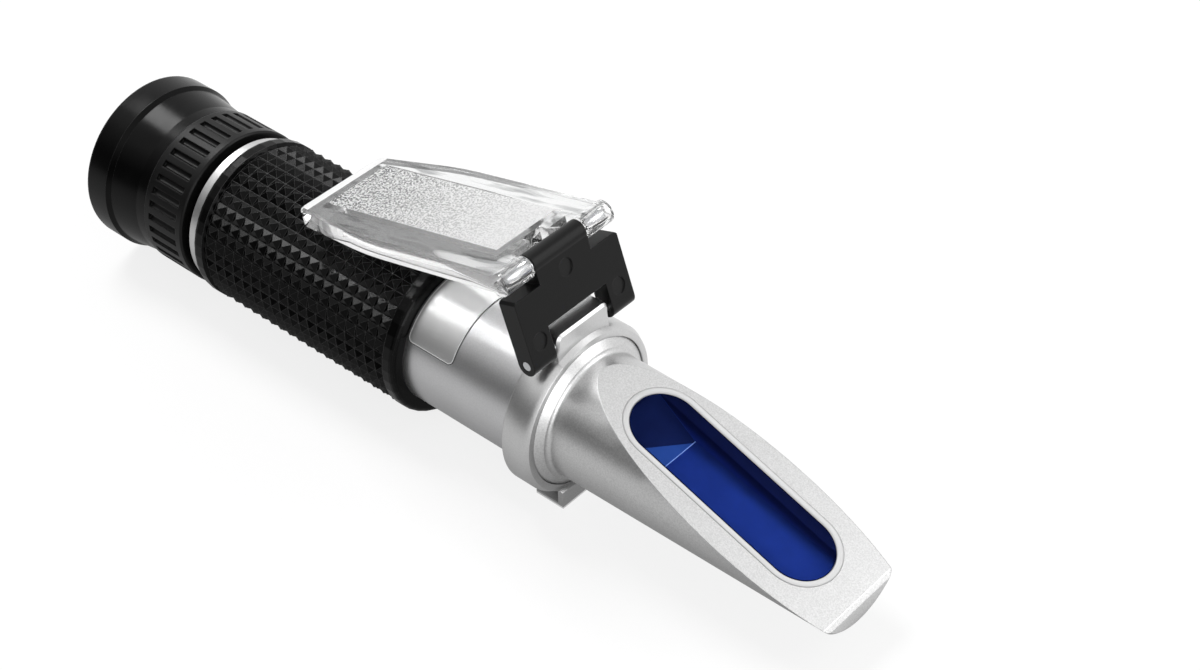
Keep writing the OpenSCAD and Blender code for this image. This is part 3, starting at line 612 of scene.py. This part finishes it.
def back_paint(name, colour, dusk=None, way=Vector((0, 0, 1)), low=0.0, high=1.0):
    """Stoving enamel on the back of the glass: it touches the glass, so it has no shine of its own.
    It darkens towards a second colour along one direction: a painted shade, where less daylight gets in."""
    enamel = bare(bpy.data.materials.new(name))
    place = add_node(enamel, "TexCoord").outputs["Object"]
    cloud = add_node(enamel, "TexNoise", {"Vector": place, "Scale": 300, "Detail": 3})
    tone = add_node(enamel, "MapRange", {"Value": cloud.outputs["Fac"], "From Min": 0.3, "From Max": 0.7,
                                         "To Min": 0.92, "To Max": 1.05})
    along = add_node(enamel, "VectorMath", {0: place, 1: way}, operation="DOT_PRODUCT")
    depth = add_node(enamel, "MapRange", {"Value": along.outputs["Value"], "From Min": low,
                                          "From Max": high}, interpolation_type="SMOOTHSTEP")
    paint = add_node(enamel, "Mix", {"Factor": depth.outputs[0], "A": linear(colour),
                                     "B": linear(dusk or colour)}, data_type="RGBA")
    shade = add_node(enamel, "Mix", {"Factor": 1.0, "A": paint.outputs["Result"], "B": tone.outputs[0]},
                     data_type="RGBA", blend_type="MULTIPLY")
    skin = add_node(enamel, "BsdfPrincipled", {"Base Color": shade.outputs["Result"], "Roughness": 0.6,
                                               "Specular IOR Level": 0.0})
    add_node(enamel, "OutputMaterial", {"Surface": skin.outputs[0]})
    return enamel


dusk_start = 0.001
wall_dusk_low, wall_dusk_high = 0.005, 0.0015
# the back paint is one blue: the floor's darkening towards the wall, the darker exit face and side wall,
# and the side wall's darkening towards the rim are painted shade
prism_finishes = [glass,
                  back_paint("blue_back_paint", "1e337c", "18285f", Vector((0, 1, 0)), dusk_start,
                             block_half),
                  back_paint("shaded_exit_face_paint", "18234f"),
                  back_paint("shaded_side_wall_paint", "152361", "12193f", face_up, prism_top - wall_dusk_low,
                             prism_top - wall_dusk_high),
                  # the lighter exit face part is painted light, and the two edge colours are painted
                  # highlights
                  back_paint("lit_exit_face", "30519d"), back_paint("painted_highlight_glass_edge", "8fb0f0"),
                  back_paint("faint_highlight_glass_edge", "1c3272")]
for finish_of_side in prism_finishes:
    prism.data.materials.append(finish_of_side)
slanting = 0.3
for side in prism.data.polygons:
    if side.normal.dot(face_up) > facing:
        side.material_index = 0
    elif side.normal.dot(floor_down) > square_on:
        side.material_index = 1
    elif side.normal.dot(exit_back) > square_on:
        below = (side.center - light_from).dot(light_side)
        side.material_index = 4 if below * light_side.dot(corner_line - light_from) > 0 else 2
    elif side.normal.dot((floor_down + exit_back).normalized()) > square_on:
        side.material_index = 5
    elif (side.normal.dot(exit_back) > slanting and side.normal.y > slanting
          and side.center.dot(face_up) < prism_top - rim_depth):
        side.material_index = 6
    else:
        side.material_index = 3
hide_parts("measuring_prism")
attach(prism, "base")


# ---------------------------------------------------------------- Hinge pins
# Two plain stainless steel pins, cut from ground rod and pushed through the link. The small
# screws, the guide pin and the snap ring are of the same steel: bright, with a faint ground haze.
steel = bare(bpy.data.materials.new("ground_steel"))
steel_place = add_node(steel, "TexCoord").outputs["Object"]
steel_grain = add_node(steel, "TexNoise", {"Vector": steel_place, "Scale": 3000, "Detail": 2})
steel_gloss = add_node(steel, "MapRange", {"Value": steel_grain.outputs["Fac"], "To Min": 0.18,
                                           "To Max": 0.26})
steel_bevel = add_node(steel, "Bevel", {"Radius": 0.0001}, samples=4)
steel_skin = add_node(steel, "BsdfPrincipled", {"Base Color": linear("bfc0c2"), "Metallic": 1.0,
                                                "Roughness": steel_gloss.outputs[0],
                                                "Normal": steel_bevel.outputs[0]})
add_node(steel, "OutputMaterial", {"Surface": steel_skin.outputs[0]})
finish(["lower_hinge_pin", "upper_hinge_pin", "calibration_screw", "strip_screws", "cell_screws",
        "guide_pin", "snap_ring"], steel)


# ---------------------------------------------------------------- Hinge link
# A moulded black plastic link between collar and daylight plate, with a fine matt texture
# from its mould and three shallow ejector marks.
abs_black = bare(bpy.data.materials.new("moulded_black_abs"))
abs_place = add_node(abs_black, "TexCoord").outputs["Object"]
abs_grain = add_node(abs_black, "TexNoise", {"Vector": abs_place, "Scale": 3000, "Detail": 2})
abs_bevel = add_node(abs_black, "Bevel", {"Radius": 0.00025}, samples=6)
abs_bump = add_node(abs_black, "Bump", {"Height": abs_grain.outputs["Fac"], "Strength": 0.25,
                                        "Distance": grain_depth, "Normal": abs_bevel.outputs[0]})
abs_skin = add_node(abs_black, "BsdfPrincipled", {"Base Color": linear("0c0c0c"), "Roughness": 0.34,
                                                  "Specular IOR Level": 0.17,
                                                  "Normal": abs_bump.outputs[0]})
add_node(abs_black, "OutputMaterial", {"Surface": abs_skin.outputs[0]})
finish(["hinge_link", "focus_ring"], abs_black)


# ---------------------------------------------------------------- Daylight plate
# An injection moulded clear acrylic cover that spreads the sample over the prism, with a
# frosted pad on the side that meets it.
def clear_acrylic(name, colour, roughness, clearness, painted_streaks=0.0):
    """Injection moulded acrylic: clear and glossy. Long grey streaks in its colour are a painted
    refraction of the dark grip behind it."""
    plastic = bare(bpy.data.materials.new(name))
    place = add_node(plastic, "TexCoord").outputs["Object"]
    along = add_node(plastic, "Mapping", {"Vector": place, "Scale": (0.12, 1.0, 0.4)})
    flow = add_node(plastic, "TexNoise", {"Vector": along.outputs[0], "Scale": 700, "Detail": 2,
                                          "Distortion": 0.4})
    # the grey streaks are painted into the colour, a painted refraction of the dark grip
    amount = add_node(plastic, "MapRange", {"Value": flow.outputs["Fac"], "From Min": 0.5, "From Max": 0.68,
                                            "To Min": 0.0, "To Max": painted_streaks})
    tone = add_node(plastic, "Mix", {"Factor": amount.outputs[0], "A": linear(colour),
                                     "B": linear("55585a")}, data_type="RGBA")
    skin = add_node(plastic, "BsdfPrincipled", {"Base Color": tone.outputs["Result"],
                                                "Roughness": roughness, "IOR": 1.49,
                                                "Transmission Weight": clearness})
    add_node(plastic, "OutputMaterial", {"Surface": skin.outputs[0]})
    return plastic


# the pad is roughened in the mould and is white. Its dark specks follow the frosting's grain, but their
# darkness is painted shade: the black grip seen through the pad, densest at its far end over the grip
pad_far, pad_near = -0.024, 0.011
frost = bare(bpy.data.materials.new("frosted_acrylic"))
frost_place = add_node(frost, "TexCoord").outputs["Object"]
frost_grain = add_node(frost, "TexNoise", {"Vector": frost_place, "Scale": 3200, "Detail": 1,
                                           "Roughness": 0.5})
frost_speck = add_node(frost, "MapRange", {"Value": frost_grain.outputs["Fac"], "From Min": 0.47,
                                           "From Max": 0.56})
frost_along = add_node(frost, "SeparateXYZ", {0: frost_place})
frost_grip_showing = add_node(frost, "MapRange", {"Value": frost_along.outputs["X"], "From Min": pad_far,
                                         "From Max": pad_near, "To Min": 1.0, "To Max": 0.2})
frost_grip_specks = add_node(frost, "Math", {0: frost_speck.outputs[0], 1: frost_grip_showing.outputs[0]},
                       operation="MULTIPLY")
frost_tone = add_node(frost, "Mix", {"Factor": frost_grip_specks.outputs[0], "A": linear("eeeeee"),
                                     "B": linear("26282a")}, data_type="RGBA")
frost_bump = add_node(frost, "Bump", {"Height": frost_grain.outputs["Fac"], "Strength": 0.7,
                                      "Distance": 4 * grain_depth})
frost_skin = add_node(frost, "BsdfPrincipled", {"Base Color": frost_tone.outputs["Result"],
                                                "Roughness": 0.35, "IOR": 1.49, "Transmission Weight": 0.12,
                                                "Normal": frost_bump.outputs[0]})
add_node(frost, "OutputMaterial", {"Surface": frost_skin.outputs[0]})

plate = copy_of("daylight_plate", "clear_flap")
for skin_of_plate in [clear_acrylic("moulded_clear_acrylic", "f4f5f5", 0.01, 0.8, 0.8), frost,
                      clear_acrylic("polished_clear_acrylic", "fcfcfc", 0.0, 0.97),
                      clear_acrylic("ground_acrylic_end", "ffffff", 0.1, 0.1)]:
    plate.data.materials.append(skin_of_plate)
plate_tilt = math.radians(14.784)
plate_up = Vector((-math.sin(plate_tilt), 0, math.cos(plate_tilt)))
plate_along = Vector((math.cos(plate_tilt), 0, math.sin(plate_tilt)))
far_strip_width = 0.0022
far_strip = min(corner.co.dot(plate_along) for corner in plate.data.vertices) + far_strip_width
pin = Vector((0.01911499, 0, 0.04564067))
knuckle_reach = 0.005
pad_rise, pad_wall_rise = 0.00215, 0.0018
upwards, steep = 0.9, 0.5
plate_rounding = 0.00018
pick(plate, lambda facet: facet.normal.dot(plate_up) > upwards)
score(plate_along * far_strip, plate_along)
for facet in plate.data.polygons:
    tilt = facet.normal.dot(plate_up)
    rise = (facet.center - pin).dot(plate_up)
    beyond_knuckle = (facet.center - pin).length > knuckle_reach
    if rise > pad_rise and tilt > upwards and beyond_knuckle:
        facet.material_index = 1
    elif tilt > steep and facet.center.dot(plate_along) < far_strip:
        facet.material_index = 3
    elif abs(tilt) < steep and rise > pad_wall_rise and beyond_knuckle:
        facet.material_index = 3
    elif tilt < upwards:
        facet.material_index = 2
round_edges(plate, plate_rounding, 2, 25, 2)
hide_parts("daylight_plate")
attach(plate, "cover")


# ---------------------------------------------------------------- Inner parts
# The lens cell, the holders and the eyepiece barrel are turned from aluminium and anodised matt
# black, so that no stray light gets past them. The strip is rolled from two metals and has their
# dull yellow sheen. Lenses and reticle are clear coated glass.
black_anodise = bare(bpy.data.materials.new("matt_black_anodise"))
anodise_place = add_node(black_anodise, "TexCoord").outputs["Object"]
anodise_lines = add_node(black_anodise, "TexWave", {"Vector": anodise_place, "Scale": 900,
                                                    "Distortion": 0.4},
                         wave_type="BANDS", bands_direction="X")
anodise_bump = add_node(black_anodise, "Bump", {"Height": anodise_lines.outputs["Fac"], "Strength": 0.15,
                                                "Distance": grain_depth})
anodise_skin = add_node(black_anodise, "BsdfPrincipled", {"Base Color": linear("232426"), "Metallic": 0.6,
                                                          "Roughness": 0.42,
                                                          "Normal": anodise_bump.outputs[0]})
add_node(black_anodise, "OutputMaterial", {"Surface": anodise_skin.outputs[0]})
finish(["lens_mount", "lens_cell", "lens_ring", "light_baffle", "reticle_holder", "reticle_ring",
        "lens_barrel", "lens_spacer", "eye_lens_ring"], black_anodise)

bimetal = bare(bpy.data.materials.new("rolled_bimetal"))
bimetal_place = add_node(bimetal, "TexCoord").outputs["Object"]
bimetal_lines = add_node(bimetal, "TexNoise", {"Vector": bimetal_place, "Scale": 1500, "Detail": 2})
bimetal_gloss = add_node(bimetal, "MapRange", {"Value": bimetal_lines.outputs["Fac"], "To Min": 0.29,
                                               "To Max": 0.4})
bimetal_skin = add_node(bimetal, "BsdfPrincipled", {"Base Color": linear("b59a62"), "Metallic": 1.0,
                                                    "Roughness": bimetal_gloss.outputs[0]})
add_node(bimetal, "OutputMaterial", {"Surface": bimetal_skin.outputs[0]})
finish(["bimetal_strip"], bimetal)

lens_glass = bare(bpy.data.materials.new("coated_optical_glass"))
lens_skin = add_node(lens_glass, "BsdfPrincipled", {"Base Color": linear("f0f6fb"), "Roughness": 0.02,
                                                    "IOR": 1.52, "Transmission Weight": 1.0})
add_node(lens_glass, "OutputMaterial", {"Surface": lens_skin.outputs[0]})
finish(["objective_lens", "reticle", "field_lens", "eye_lens"], lens_glass)


# ---------------------------------------------------------------- Eyepiece
# The fixed ring and sleeve behind the grip that the focusing eyepiece slides in.
finish(["eyepiece_socket"], blasted_aluminium("blasted_aluminium_socket", "c8c8c8", 0.33, 0.35, 0.0001))
